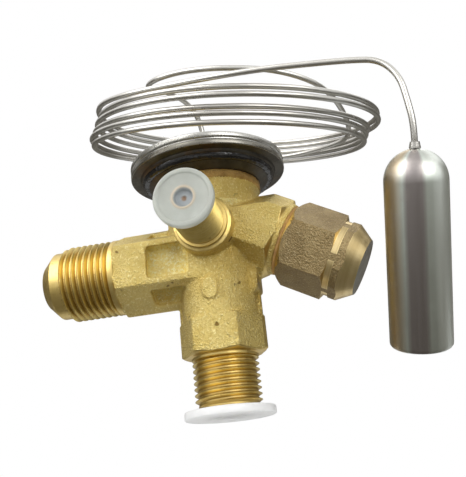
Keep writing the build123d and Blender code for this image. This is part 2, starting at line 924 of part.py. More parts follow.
# ---- cap on the equaliser connection ----
stem_outer_r = equaliser_bore_r - eq_cap_gap
stem_inner_r = stem_outer_r - eq_cap_stem_wall
eq_cap_profile = Plane(origin=(0, 0, equaliser_axis_z), x_dir=(0, -1, 0), z_dir=(-1, 0, 0))
eq_cap_back = eq_cap_face - eq_cap_thickness
eq_stem_end = eq_cap_face - eq_cap_stem_depth
eq_nose_r_at_back = equaliser_nose_r + equaliser_reach - eq_cap_back
with BuildPart() as equaliser_cap:
    turned(
        [
            (eq_cap_back, eq_nose_r_at_back + 1.5 * eq_cap_gap),
            (eq_cap_back, eq_cap_r - 0.25),
            (eq_cap_back + 0.25, eq_cap_r),
            (eq_cap_face - 0.25, eq_cap_r),
            (eq_cap_face, eq_cap_r - 0.25),
            (eq_cap_face, eq_cap_dish_r + eq_cap_dish_depth),
            (eq_cap_face - eq_cap_dish_depth, eq_cap_dish_r),
            (eq_cap_face - eq_cap_dish_depth, stem_inner_r),
            (eq_stem_end + eq_cap_stem_wall, stem_inner_r),
            (eq_stem_end + eq_cap_stem_wall, 0),
            (eq_stem_end, 0),
            (eq_stem_end, stem_outer_r - 0.3),
            (eq_stem_end + 0.3, stem_outer_r),
            (equaliser_reach + eq_cap_gap, stem_outer_r),
            (equaliser_reach + eq_cap_gap, equaliser_nose_r),
        ],
        eq_cap_profile,
        equaliser_axis,
    )
keep(equaliser_cap, "equaliser_cap")

# ---- stopper in the inlet: flange round the nose and hollow stem in the bore ----
nose_r_at_top = inlet_nose_r + plug_flange_top
plug_stem_r = inlet_bore_r - plug_gap
with BuildPart() as inlet_plug:
    turned(
        [
            (plug_face_z, plug_stem_r - plug_wall),
            (plug_face_z, plug_flange_r - 0.25),
            (plug_face_z + 0.25, plug_flange_r),
            (plug_flange_top - 0.25, plug_flange_r),
            (plug_flange_top, plug_flange_r - 0.25),
            (plug_flange_top, nose_r_at_top + 1.5 * plug_gap),
            (-plug_gap, inlet_nose_r),
            (-plug_gap, plug_stem_r),
            (plug_stem_top - 0.4, plug_stem_r),
            (plug_stem_top, plug_stem_r - 0.4),
            (plug_stem_top, 0),
            (plug_stem_top - plug_wall, 0),
            (plug_stem_top - plug_wall, plug_stem_r - plug_wall),
        ],
        inlet_profile,
        Axis.Z,
    )
keep(inlet_plug, "inlet_plug")

# ---- capillary: free stretches as tubes, the wound part as one ring ----
with BuildPart() as capillary_lead:
    lead_radii = corner_radii(lead_points, tube_arc_share)
    lead_length = bent_wire(lead_points, lead_radii, capillary_r)
keep(capillary_lead, "capillary_lead")

with BuildPart() as capillary_tail:
    tail_radii = corner_radii(tail_points, tube_arc_share)
    tail_length = bent_wire(tail_points, tail_radii, capillary_r)
keep(capillary_tail, "capillary_tail")

coil_plane = Plane(origin=coil_centre, z_dir=coil_normal)
with BuildPart() as capillary_coil:
    with BuildSketch(coil_plane.offset(-coil_height / 2)):
        Circle(coil_outer_r)
        Circle(coil_inner_r, mode=Mode.SUBTRACT)
    extrude(amount=coil_height)
keep(capillary_coil, "capillary_coil")

# ---- sensing bulb with its domed end, and the ferrule of the capillary ----
bulb_side = bulb_down.cross(Vector(0, 0, 1)).normalized()
bulb_profile = Plane(origin=bulb_top, x_dir=bulb_down, z_dir=bulb_side)
bulb_axis = Axis(bulb_top, bulb_down)
with BuildPart() as bulb:
    with BuildSketch(bulb_profile):
        with BuildLine():
            Line((0, 0), (0, bulb_ferrule_r))
            ThreePointArc(
                (0, bulb_ferrule_r),
                (bulb_r * (1 - cos(radians(50))) + 0.1, bulb_r * sin(radians(50)) + 0.15),
                (bulb_r, bulb_r),
            )
            Polyline(
                (bulb_r, bulb_r),
                (bulb_length - bulb_foot_r, bulb_r),
                (bulb_length, bulb_r - bulb_foot_r),
                (bulb_length, 0),
                (0, 0),
            )
        make_face()
    revolve(axis=bulb_axis)
keep(bulb, "bulb")

with BuildPart() as bulb_ferrule:
    turned(
        [
            (-bulb_ferrule_length, capillary_r),
            (-bulb_ferrule_length, bulb_ferrule_r - 0.2),
            (-0.2, bulb_ferrule_r),
            (0, bulb_ferrule_r),
            (0, capillary_r),
        ],
        bulb_profile,
        bulb_axis,
    )
keep(bulb_ferrule, "bulb_ferrule")

# ---- capillary: corner radii, and volume against section times length ----
print("corner radii", [round(radius, 1) for radius in lead_radii + tail_radii])
section_area = pi * capillary_r**2
for tube, length in ((capillary_lead, lead_length), (capillary_tail, tail_length)):
    print(tube.part.label, round(length, 1), round(tube.part.volume / (section_area * length), 4))
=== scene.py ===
import math

import bpy
from mathutils import Matrix, Vector


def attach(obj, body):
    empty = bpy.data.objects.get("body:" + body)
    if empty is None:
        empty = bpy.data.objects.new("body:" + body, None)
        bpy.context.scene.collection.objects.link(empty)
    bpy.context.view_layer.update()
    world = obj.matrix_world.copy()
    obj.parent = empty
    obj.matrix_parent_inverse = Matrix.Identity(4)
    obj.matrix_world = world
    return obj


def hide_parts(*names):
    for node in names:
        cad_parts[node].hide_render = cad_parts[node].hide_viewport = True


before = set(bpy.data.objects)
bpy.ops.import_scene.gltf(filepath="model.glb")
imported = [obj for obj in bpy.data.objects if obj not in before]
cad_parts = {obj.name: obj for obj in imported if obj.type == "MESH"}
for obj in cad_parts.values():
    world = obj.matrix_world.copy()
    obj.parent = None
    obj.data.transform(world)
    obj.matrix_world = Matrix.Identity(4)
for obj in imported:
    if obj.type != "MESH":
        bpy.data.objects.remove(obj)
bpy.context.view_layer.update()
print("frame loaded")

scene = bpy.context.scene
scene.view_settings.view_transform = "Standard"

# Camera: below and in front, looking up at the underside of the head
camera = {
    "place": (0.034286, -0.176372, -0.018767),
    "right": (0.975486, 0.197198, -0.097669),
    "up": (0.155447, -0.303325, 0.940123),
    "lens": 57.214,
    "sensor": 36.0,
    "near": 0.005,
    "far": 10,
}


def addCamera():
    data = bpy.data.cameras.new("camera")
    data.lens = camera["lens"]
    data.sensor_width = camera["sensor"]
    data.clip_start = camera["near"]
    data.clip_end = camera["far"]
    body = bpy.data.objects.new("camera", data)
    scene.collection.objects.link(body)
    right, up = Vector(camera["right"]), Vector(camera["up"])
    back = right.cross(up)
    turn = Matrix((right, up, back)).transposed().to_4x4()
    body.matrix_world = Matrix.Translation(camera["place"]) @ turn
    scene.camera = body


addCamera()

# Capillary: out of the dome, round the coil, on to the bulb
capillary = {
    "bore": 0.0013,
    "exit": (0.0, 0.0, 0.0692),
    "ringCentre": (0.0060, 0.0004, 0.0681),
    "ringNormal": (0.139, -0.268, 0.953),
    "startAngle": -9.7,
    "pointsPerTurn": 14,
    "squeeze": 0.11,  # how much closer the turns lie on the far side
    "piecesPerPoint": 6,
    "roundness": 5,
    "length": 1.43,
    "lead": [
        (0.0, 0.0, 0.0661), (0.0, 0.0, 0.0737), (-0.0016, -0.0046, 0.0796),
        (-0.0062, -0.0120, 0.0806), (-0.0096, -0.0190, 0.0782), (-0.0062, -0.0252, 0.0764),
        (0.0026, -0.0284, 0.0752), (0.0140, -0.0288, 0.0733), (0.0250, -0.0254, 0.0719),
        (0.0345, -0.0170, 0.0698),
    ],
    "tail": [
        (0.0084, -0.0360, 0.0675), (0.0209, -0.0368, 0.0666), (0.0323, -0.0376, 0.0650),
        (0.0396, -0.0383, 0.0637), (0.0449, -0.0390, 0.0622), (0.0481, -0.0396, 0.0574),
        (0.0487, -0.0395, 0.0516), (0.04907, -0.03890, 0.04656), (0.0486, -0.0369, 0.0426),
    ],
    # turn, then height, radius and sideways place in mm
    "coil": [
        (0.00, 5.5, 32.9, 6.0), (0.25, 1.8, 33.3, 6.0), (0.45, 0.0, 33.8, 6.0),
        (0.62, -0.3, 34.6, 6.0), (0.805, 0.0, 34.8, 6.0), (1.805, 1.9, 35.2, 6.3),
        (2.805, 3.4, 34.5, 6.6), (3.805, 5.4, 36.0, 8.7), (4.805, 7.2, 35.2, 8.8),
        (5.66, 8.8, 36.1, 9.0),
    ],
}


def coilAt(turn):
    rows = capillary["coil"]
    for before, after in zip(rows, rows[1:]):
        if turn <= after[0]:
            break
    share = (turn - before[0]) / (after[0] - before[0])
    return [a + (b - a) * share for a, b in zip(before[1:], after[1:])]


def coilRoute():
    centre = Vector(capillary["ringCentre"])
    normal = Vector(capillary["ringNormal"]).normalized()
    side = (Vector((1, 0, 0)) - normal * normal.x).normalized()
    ahead = normal.cross(side)
    perTurn = capillary["pointsPerTurn"]
    reach = 1 / math.cos(math.pi / perTurn)
    points = []
    for index in range(1, round(capillary["coil"][-1][0] * perTurn) + 1):
        turn = index / perTurn
        height, radius, across = coilAt(turn)
        angle = math.radians(capillary["startAngle"] + 360 * turn)
        height *= 1 - capillary["squeeze"] * (1 + math.sin(angle))
        ring = side * math.cos(angle) + ahead * math.sin(angle)
        shift = Vector((across / 1000 - centre.x, 0, 0))
        outwards = ring * (radius * reach / 1000)
        points.append(centre + shift + outwards + normal * (height / 1000))
    return points


def addCapillary():
    line = bpy.data.curves.new("capillary", "CURVE")
    line.dimensions = "3D"
    lead, tail = ([Vector(place) for place in capillary[end]] for end in ("lead", "tail"))
    route = lead + coilRoute() + tail
    spline = line.splines.new("NURBS")
    spline.points.add(len(route) - 1)
    for point, place in zip(spline.points, route):
        point.co = (*place, 1)
        point.radius = capillary["bore"] / 2
    spline.order_u = 3
    spline.use_endpoint_u = True
    spline.resolution_u = capillary["piecesPerPoint"]
    line.bevel_depth = 1  # the points hold the tube's radius
    line.bevel_resolution = capillary["roundness"]
    line.use_fill_caps = True
    piece = bpy.data.objects.new("capillaryTube", line)
    scene.collection.objects.link(piece)
    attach(piece, "housing")
    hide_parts("capillary_lead", "capillary_coil", "capillary_tail")
    return piece


capillaryTube = addCapillary()
print("capillary laid")

# Finishes

texture = {
    "noiseRoughness": 0.68,
    "spread": (0.35, 0.65),  # the middle of a noise, drawn out to its full range
    "groove": (0.30, 0.62),
    "pit": (0.70, 0.76),
    "lineDetail": 4,
    "edgeSamples": 6,
    "plasticBend": 1.45,
    "plasticDepth": 0.0015,
}


def startFinish(look):
    finish = bpy.data.materials.new(look["name"])
    finish.use_nodes = True
    tree = finish.node_tree
    shader = tree.nodes["Principled BSDF"]
    spot = tree.nodes.new("ShaderNodeTexCoord")
    place = tree.nodes.new("ShaderNodeMapping")
    place.vector_type = "TEXTURE"
    place.inputs["Location"].default_value = look.get("centre", (0, 0, 0))
    axis = Vector(look.get("axis", (0, 0, 1)))
    place.inputs["Rotation"].default_value = axis.to_track_quat("Z", "Y").to_euler()
    tree.links.new(spot.outputs["Object"], place.inputs["Vector"])
    return finish, tree, shader, place.outputs["Vector"]


def noiseOf(tree, spot, scale, detail=3.0, stretch=None):
    if stretch:
        pull = tree.nodes.new("ShaderNodeVectorMath")
        pull.operation = "MULTIPLY"
        pull.inputs[1].default_value = stretch
        tree.links.new(spot, pull.inputs[0])
        spot = pull.outputs[0]
    noise = tree.nodes.new("ShaderNodeTexNoise")
    noise.inputs["Scale"].default_value = scale
    noise.inputs["Detail"].default_value = detail
    noise.inputs["Roughness"].default_value = texture["noiseRoughness"]
    tree.links.new(spot, noise.inputs["Vector"])
    return noise.outputs["Fac"]


def rangeOf(tree, value, low, high, fromLow=None, fromHigh=None):
    if fromLow is None:
        fromLow, fromHigh = texture["spread"]
    fit = tree.nodes.new("ShaderNodeMapRange")
    fit.inputs["From Min"].default_value = fromLow
    fit.inputs["From Max"].default_value = fromHigh
    fit.inputs["To Min"].default_value = low
    fit.inputs["To Max"].default_value = high
    tree.links.new(value, fit.inputs["Value"])
    return fit.outputs["Result"]


def mixOf(tree, share, first, second):
    mix = tree.nodes.new("ShaderNodeMix")
    mix.data_type = "RGBA"
    tree.links.new(share, mix.inputs["Factor"])
    for socket, colour in ((mix.inputs["A"], first), (mix.inputs["B"], second)):
        if isinstance(colour, tuple):
            socket.default_value = (*colour, 1)
        else:
            tree.links.new(colour, socket)
    return mix.outputs["Result"]


def tinted(tree, colour, value, limits, tint):
    return mixOf(tree, rangeOf(tree, value, 0, 1, *limits), colour, tint)


def latheLines(tree, spot, scale):
    # rings about the local Z axis, on faces as well as on sides
    parts = tree.nodes.new("ShaderNodeSeparateXYZ")
    tree.links.new(spot, parts.inputs[0])
    both = tree.nodes.new("ShaderNodeMath")
    both.operation = "ADD"
    tree.links.new(parts.outputs["Z"], both.inputs[0])
    tree.links.new(reachOf(tree, spot), both.inputs[1])
    lines = tree.nodes.new("ShaderNodeTexNoise")
    lines.noise_dimensions = "1D"
    lines.inputs["Scale"].default_value = scale
    lines.inputs["Detail"].default_value = texture["lineDetail"]
    tree.links.new(both.outputs[0], lines.inputs["W"])
    return lines.outputs["Fac"]


def bumpOf(tree, height, depth, after=None):
    bump = tree.nodes.new("ShaderNodeBump")
    bump.inputs["Distance"].default_value = depth
    bump.inputs["Strength"].default_value = 1
    tree.links.new(height, bump.inputs["Height"])
    if after is not None:
        tree.links.new(after, bump.inputs["Normal"])
    return bump.outputs["Normal"]


def flattened(tree, spot):
    flat = tree.nodes.new("ShaderNodeVectorMath")
    flat.operation = "MULTIPLY"
    flat.inputs[1].default_value = (1, 1, 0)
    tree.links.new(spot, flat.inputs[0])
    return flat.outputs[0]


def reachOf(tree, spot):
    # distance from the local Z axis
    far = tree.nodes.new("ShaderNodeVectorMath")
    far.operation = "LENGTH"
    tree.links.new(flattened(tree, spot), far.inputs[0])
    return far.outputs["Value"]


def reflectionBandOf(tree, spot, axis, way, wide, soft):
    # a band drawn along the axis, on the side that faces the given way, for the painted
    # reflections
    way = axis.to_track_quat("Z", "Y").inverted() @ way
    unit = tree.nodes.new("ShaderNodeVectorMath")
    unit.operation = "NORMALIZE"
    tree.links.new(flattened(tree, spot), unit.inputs[0])
    facing = tree.nodes.new("ShaderNodeVectorMath")
    facing.operation = "DOT_PRODUCT"
    facing.inputs[1].default_value = Vector((way.x, way.y, 0)).normalized()
    tree.links.new(unit.outputs[0], facing.inputs[0])
    low, high = math.cos(math.radians(wide + soft)), math.cos(math.radians(wide - soft))
    return rangeOf(tree, facing.outputs["Value"], 0, 1, low, high)


def roundedEdges(tree, radius):
    edge = tree.nodes.new("ShaderNodeBevel")
    edge.samples = texture["edgeSamples"]
    edge.inputs["Radius"].default_value = radius
    return edge.outputs["Normal"]


def metal(look):
    finish, tree, shader, spot = startFinish(look)
    patches = noiseOf(tree, spot, look["patches"], 4)
    colour = mixOf(tree, rangeOf(tree, patches, 0, 1), look["dark"], look["light"])
    grain = noiseOf(tree, spot, look["grain"], 3, look.get("stretch"))
    low, high = look["rough"]
    rough = rangeOf(tree, grain, low, high)
    normal = roundedEdges(tree, look["edge"]) if look.get("edge") else None
    if look.get("lines"):
        lines = latheLines(tree, spot, look["lines"])
        normal = bumpOf(tree, lines, look["lineDepth"], normal)
        inGroove = rangeOf(tree, lines, 0, 1, *texture["groove"])
        colour = mixOf(tree, inGroove, look["groove"], colour)
    for near, wide, tint in look.get("marks", ()):
        share = rangeOf(tree, reachOf(tree, spot), 1, 0, near, wide)
        colour = mixOf(tree, share, colour, tint)
    # painted reflections: bands of colour along the axis that stand in for the room mirrored in
    # the metal
    for way, wide, soft, tint in look.get("paintedReflections", ()):
        share = reflectionBandOf(tree, spot, Vector(look["axis"]), Vector(way), wide, soft)
        colour = mixOf(tree, share, colour, tint)
    if look.get("stain"):
        stain = noiseOf(tree, spot, look["stainScale"], 5)
        colour = tinted(tree, colour, stain, look["stainRange"], look["stain"])
    # painted glints and shade: the grain's high spots turn a light sparkle colour and its low
    # spots a darker one
    for low, high, tint in look.get("paintedSparkle", ()):
        colour = tinted(tree, colour, grain, (low, high), tint)
    if look.get("grainDepth"):
        normal = bumpOf(tree, grain, look["grainDepth"], normal)
    if look.get("pits"):
        pits = noiseOf(tree, spot, look["pits"], 1)
        colour = tinted(tree, colour, pits, texture["pit"], look["pitColour"])
    tree.links.new(colour, shader.inputs["Base Color"])
    tree.links.new(rough, shader.inputs["Roughness"])
    if normal is not None:
        tree.links.new(normal, shader.inputs["Normal"])
    shader.inputs["Metallic"].default_value = look.get("metallic", 1.0)
    return finish


def plastic(look):
    finish, tree, shader, spot = startFinish(look)
    cloud = noiseOf(tree, spot, look["patches"], 4)
    colour = mixOf(tree, rangeOf(tree, cloud, 0, 1), look["dark"], look["light"])
    for near, wide, tint in look.get("marks", ()):
        share = rangeOf(tree, reachOf(tree, spot), 1, 0, near, wide)
        colour = mixOf(tree, share, colour, tint)
    grain = noiseOf(tree, spot, look["grain"], 2)
    low, high = look["rough"]
    tree.links.new(colour, shader.inputs["Base Color"])
    tree.links.new(rangeOf(tree, grain, low, high), shader.inputs["Roughness"])
    tree.links.new(bumpOf(tree, grain, look["grainDepth"]), shader.inputs["Normal"])
    shader.inputs["Transmission Weight"].default_value = look.get("clear", 0)
    shader.inputs["Subsurface Weight"].default_value = look.get("glow", 0)
    shader.inputs["Subsurface Radius"].default_value = (1, 1, 1)
    shader.inputs["Subsurface Scale"].default_value = texture["plasticDepth"]
    shader.inputs["IOR"].default_value = texture["plasticBend"]
    return finish


# Lines that several pieces share: the slanted spindle, the side connections and the bulb
spindleSlope = math.radians(29.2)
spindleWay = (math.cos(spindleSlope), 0, -math.sin(spindleSlope))
spindleFoot = (0, 0, 0.0503)
outletCentre = (0, 0, 0.0373)
equaliserCentre = (0, 0, 0.0435)
bulbTop, bulbFoot = Vector((0.0486, -0.0369, 0.0426)), Vector((0.0443, -0.0188, 0.0073))
bulbWay = (bulbTop - bulbFoot).normalized()
bulbFront = Vector((-0.080, -0.956, -0.284))


def bulbSide(angle):
    # a way out of the bulb, turned about it from its front
    across = bulbWay.cross(bulbFront).normalized()
    front = across.cross(bulbWay)
    return front * math.cos(math.radians(angle)) + across * math.sin(math.radians(angle))


castLook = {
    "name": "castBrass", "light": (0.80, 0.64, 0.24), "dark": (0.69, 0.52, 0.16),
    "patches": 180, "grain": 2100, "rough": (0.29, 0.43), "grainDepth": 0.0006, "edge": 0.0003,
    # painted glints and shade: light specks on the grain's high spots, dark specks in its hollows
    "paintedSparkle": [(0.56, 0.68, (1.0, 0.90, 0.48)), (0.43, 0.30, (0.64, 0.46, 0.13))],
    "pits": 420, "pitColour": (0.24, 0.15, 0.04),
    "stain": (0.60, 0.45, 0.15), "stainScale": 90, "stainRange": (0.50, 0.75),
}
# painted light: a lighter brass for the pocket floors and the neck under the head, lifting the
# shade that falls there
paintedLitLook = {
    **castLook, "name": "paintedLitBrass", "light": (1.0, 0.88, 0.40), "dark": (0.92, 0.77, 0.29),
    "rough": (0.32, 0.46), "grainDepth": 0.0008,
    "paintedSparkle": [(0.52, 0.64, (1.0, 0.96, 0.66)), (0.42, 0.32, (0.80, 0.62, 0.20))],
}
tintLook = {
    **castLook, "name": "tintBrass", "light": (0.66, 0.43, 0.15), "dark": (0.42, 0.25, 0.08),
    "rough": (0.36, 0.50), "stain": (0.20, 0.11, 0.04), "stainScale": 260, "paintedSparkle": [],
}
turnedLook = {
    "name": "turnedBrass", "light": (0.76, 0.58, 0.22), "dark": (0.66, 0.48, 0.15), "patches": 260,
    "grain": 1500, "rough": (0.33, 0.42),
    "lines": 2600, "lineDepth": 0.000004, "groove": (0.74, 0.56, 0.20),
    "stain": (0.46, 0.30, 0.09), "stainScale": 330, "stainRange": (0.64, 0.74),
}
threadLook = {
    "name": "threadBrass", "light": (0.70, 0.55, 0.20), "dark": (0.62, 0.46, 0.14), "patches": 320,
    "grain": 900, "rough": (0.32, 0.42),
    "stain": (0.40, 0.26, 0.08), "stainScale": 420, "stainRange": (0.60, 0.74),
}
# darker at the foot of the thread, up to a share of its height
threadRoots = {
    "tint": (0.50, 0.35, 0.11), "from": 0.10, "to": 0.70,
    "ends": {
        "inletEnd": {
            "centre": (0, 0, 0), "axis": (0, 0, 1), "root": 0.00707, "crest": 0.0079375,
        },
        "outletEnd": {
            "centre": outletCentre, "axis": (-1, 0, 0), "root": 0.00854, "crest": 0.009525,
        },
        "equaliserEnd": {
            "centre": equaliserCentre, "axis": (0, -1, 0), "root": 0.0048, "crest": 0.005556,
        },
    },
}
capLook = {
    "name": "barBronze", "light": (0.37, 0.28, 0.14), "dark": (0.275, 0.20, 0.095), "patches": 240,
    "grain": 2300, "rough": (0.40, 0.54), "grainDepth": 0.0003, "edge": 0.00015,
    # painted glints and shade: light specks on the grain's high spots, dark specks in its hollows
    "paintedSparkle": [(0.57, 0.68, (0.52, 0.42, 0.24)), (0.43, 0.32, (0.20, 0.14, 0.06))],
    "stain": (0.22, 0.16, 0.08), "stainScale": 160, "stainRange": (0.55, 0.75),
}
capConeLook = {
    "name": "capTurned", "light": (0.86, 0.70, 0.38), "dark": (0.76, 0.59, 0.29), "patches": 200,
    "grain": 1200, "rough": (0.28, 0.40), "edge": 0.0001,
    "lines": 2200, "lineDepth": 0.000005, "groove": (0.64, 0.48, 0.22),
}
capEndLook = {
    **capLook, "name": "capEnd", "light": (0.50, 0.48, 0.42), "dark": (0.38, 0.36, 0.31),
    "rough": (0.30, 0.42), "grainDepth": 0.00008, "paintedSparkle": [],
}
rimLook = {
    "name": "rimSteel", "light": (0.60, 0.60, 0.57), "dark": (0.53, 0.52, 0.48), "patches": 90,
    "grain": 500, "rough": (0.26, 0.30),
    "lines": 900, "lineDepth": 0.000003, "groove": (0.46, 0.45, 0.42),
}
bandLook = {
    **rimLook, "name": "bandSteel", "light": (0.29, 0.28, 0.245), "dark": (0.21, 0.195, 0.165),
    "groove": (0.20, 0.19, 0.16),
}
oxideLook = {
    "name": "darkSteel", "light": (0.115, 0.108, 0.092), "dark": (0.07, 0.064, 0.053),
    "patches": 160, "grain": 1500, "rough": (0.46, 0.58), "grainDepth": 0.00004, "edge": 0.0002,
    "stain": (0.13, 0.085, 0.05), "stainScale": 120, "stainRange": (0.52, 0.70),
}
tubeLook = {
    "name": "tubeSteel", "light": (0.60, 0.59, 0.55), "dark": (0.53, 0.51, 0.47), "patches": 60,
    "grain": 120, "rough": (0.27, 0.31),
}
bulbLook = {
    "name": "bulbSteel", "light": (0.59, 0.64, 0.58), "dark": (0.52, 0.55, 0.50), "patches": 70,
    "grain": 1400, "stretch": (1, 1, 0.03), "rough": (0.35, 0.42), "grainDepth": 0.000003,
    "centre": tuple(bulbTop), "axis": tuple(bulbWay), "edge": 0.0002,
    "stain": (0.46, 0.42, 0.38), "stainScale": 60, "stainRange": (0.55, 0.80),
    # painted reflections: two dark bands for the dark room mirrored at the left and middle, and a
    # light band as a painted highlight on the right side
    "paintedReflections": [
        (bulbSide(-54), 20, 9, (0.44, 0.36, 0.24)), (bulbSide(-3), 17, 4, (0.33, 0.30, 0.29)),
        (bulbSide(64), 24, 12, (0.84, 0.88, 0.82)),
    ],
}
springLook = {
    "name": "springWire", "light": (0.48, 0.47, 0.45), "dark": (0.33, 0.32, 0.30), "patches": 400,
    "grain": 1800, "rough": (0.25, 0.4),
}
beadLook = {
    "name": "blackSealant", "light": (0.012, 0.011, 0.010), "dark": (0.005, 0.004, 0.004),
    "patches": 300, "grain": 240, "rough": (0.05, 0.12), "grainDepth": 0.0005, "metallic": 0.0,
}
capPlasticLook = {
    "name": "capPlastic", "light": (0.54, 0.56, 0.51), "dark": (0.46, 0.475, 0.43),
    "patches": 130, "grain": 350, "rough": (0.28, 0.40), "grainDepth": 0.00001,
    "clear": 0.25, "glow": 0.7,
    "centre": (0, -0.030, 0.0435), "axis": (0, 1, 0),
    "marks": [
        (0.0024, 0.0030, (0.62, 0.52, 0.38)), (0.0020, 0.0024, (0.38, 0.41, 0.42)),
        (0.0003, 0.0008, (0.34, 0.20, 0.11)),
    ],
}
plugPlasticLook = {
    "name": "plugPlastic", "light": (0.99, 0.985, 0.96), "dark": (0.96, 0.955, 0.92),
    "patches": 130, "grain": 350, "rough": (0.3, 0.45), "grainDepth": 0.00001,
    "clear": 0.15, "glow": 0.9,
}
rubberLook = {
    "name": "sealRubber", "light": (0.035, 0.035, 0.035), "dark": (0.018, 0.018, 0.018),
    "patches": 300, "grain": 900, "rough": (0.5, 0.7), "grainDepth": 0.00002,
}
fibreLook = {
    "name": "gasketFibre", "light": (0.46, 0.27, 0.08), "dark": (0.30, 0.16, 0.05), "patches": 500,
    "grain": 1600, "rough": (0.7, 0.9), "grainDepth": 0.00004,
}
castBrass, paintedLitBrass, tintBrass = metal(castLook), metal(paintedLitLook), metal(tintLook)
inletBrass = metal(turnedLook)
threadBrass = {}
for end, row in threadRoots["ends"].items():
    height = row["crest"] - row["root"]
    near, wide = (row["root"] + threadRoots[limit] * height for limit in ("from", "to"))
    threadBrass[end] = metal({
        **threadLook, "name": end + "Brass", "centre": row["centre"], "axis": row["axis"],
        "marks": [(near, wide, threadRoots["tint"])],
    })


def turnedAlong(look, centre, axis, **changes):
    # the same finish, with its lathe lines about another axis
    return metal({**look, "centre": centre, "axis": axis, **changes})


outletBrass = turnedAlong(turnedLook, outletCentre, (-1, 0, 0), name="outletNoseBrass")
equaliserBrass = turnedAlong(turnedLook, equaliserCentre, (0, -1, 0), name="equaliserNoseBrass")
spindleBrass = turnedAlong(turnedLook, spindleFoot, spindleWay, name="spindleBrass")
collarBrass = metal({**turnedLook, "name": "collarBrass", "lines": 0})
capBronze = turnedAlong(capLook, spindleFoot, spindleWay)
capEnd = metal(capEndLook)
capTurned = turnedAlong(capConeLook, spindleFoot, spindleWay)
rimSteel, bandSteel, darkSteel = metal(rimLook), metal(bandLook), metal(oxideLook)
tubeSteel, bulbSteel = metal(tubeLook), metal(bulbLook)
springWire, blackSealant = metal(springLook), metal(beadLook)
capPlastic, plugPlastic = plastic(capPlasticLook), plastic(plugPlasticLook)
sealRubber, gasketFibre = plastic(rubberLook), plastic(fibreLook)
capillaryTube.data.materials.append(tubeSteel)
print("finishes mixed")

# Modelling helpers

workshop = {
    "join": 1e-6,
    "seamJoin": 2e-6,
    "cutJoin": 1e-7,
    "steps": 96,
    "crease": 30,
    "wornAngle": 28,
    "wornSteps": 2,
}


def makeActive(piece):
    bpy.ops.object.select_all(action="DESELECT")
    piece.select_set(True)
    bpy.context.view_layer.objects.active = piece


def mergedCopy(node, name):
    piece = bpy.data.objects.new(name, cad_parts[node].data.copy())
    scene.collection.objects.link(piece)
    piece.data.materials.clear()
    makeActive(piece)
    bpy.ops.object.mode_set(mode="EDIT")
    bpy.ops.mesh.select_all(action="SELECT")
    bpy.ops.mesh.remove_doubles(threshold=workshop["join"])
    bpy.ops.object.mode_set(mode="OBJECT")
    bpy.ops.mesh.customdata_custom_splitnormals_clear()
    return piece


def cutAt(piece, place, way, drop=None):
    # drop is "ahead" or "behind" of the plane; with neither the plane only scores the piece
    makeActive(piece)
    bpy.ops.object.mode_set(mode="EDIT")
    bpy.ops.mesh.select_all(action="SELECT")
    bpy.ops.mesh.bisect(
        plane_co=place, plane_no=way, clear_outer=drop == "ahead", clear_inner=drop == "behind",
        threshold=workshop["cutJoin"],
    )
    bpy.ops.object.mode_set(mode="OBJECT")


def turnTo(way):
    return Vector(way).to_track_quat("Z", "Y").to_matrix().to_4x4()


def drawOutline(name, outline, closed=False):
    # a chain of edges in the XZ plane: distance from the axis, then height
    bpy.ops.object.select_all(action="DESELECT")
    bpy.ops.mesh.primitive_plane_add(size=0.001, location=(0, 0, 0))
    piece = bpy.context.active_object
    piece.name = name
    bpy.ops.object.mode_set(mode="EDIT")
    bpy.ops.mesh.select_all(action="SELECT")
    bpy.ops.mesh.merge(type="CENTER")
    bpy.ops.transform.translate(value=(outline[0][0], 0, outline[0][1]))
    for before, after in zip(outline, outline[1:] + (outline[:1] if closed else [])):
        step = (after[0] - before[0], 0, after[1] - before[1])
        bpy.ops.mesh.extrude_vertices_move(TRANSFORM_OT_translate={"value": step})
    bpy.ops.object.mode_set(mode="OBJECT")
    return piece


def turnPiece(look):
    # an outline in mm, along the axis and out from it, spun about the axis
    outline = [(reach / 1000, along / 1000) for along, reach in look["outline"]]
    piece = drawOutline(look["name"], outline, look.get("closed", True))
    bpy.ops.object.mode_set(mode="EDIT")
    bpy.ops.mesh.select_all(action="SELECT")
    steps = look.get("steps", workshop["steps"])
    bpy.ops.mesh.spin(steps=steps, angle=2 * math.pi, center=(0, 0, 0), axis=(0, 0, 1))
    bpy.ops.mesh.select_all(action="SELECT")
    bpy.ops.mesh.remove_doubles(threshold=workshop["seamJoin"])
    bpy.ops.mesh.normals_make_consistent(inside=False)
    bpy.ops.object.mode_set(mode="OBJECT")
    if look.get("round"):
        worn = piece.modifiers.new("worn", "BEVEL")
        worn.width = look["round"]
        worn.segments = workshop["wornSteps"]
        worn.limit_method = "ANGLE"
        worn.angle_limit = math.radians(workshop["wornAngle"])
        bpy.ops.object.modifier_apply(modifier="worn")
    turn = turnTo(look.get("way", (0, 0, 1)))
    piece.data.transform(Matrix.Translation(look.get("origin", (0, 0, 0))) @ turn)
    piece.data.update()
    smoothShade(piece, look.get("crease", workshop["crease"]))
    paintFaces(piece, look["finishes"], look.get("zones", lambda place, normal: 0))
    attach(piece, look["body"])
    if look.get("node"):
        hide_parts(look["node"])
    return piece


def smoothShade(piece, angle):
    makeActive(piece)
    bpy.ops.object.shade_smooth_by_angle(angle=math.radians(angle))


def paintFaces(piece, finishes, choose):
    for finish in finishes:
        piece.data.materials.append(finish)
    for face in piece.data.polygons:
        face.material_index = choose(face.center, face.normal)


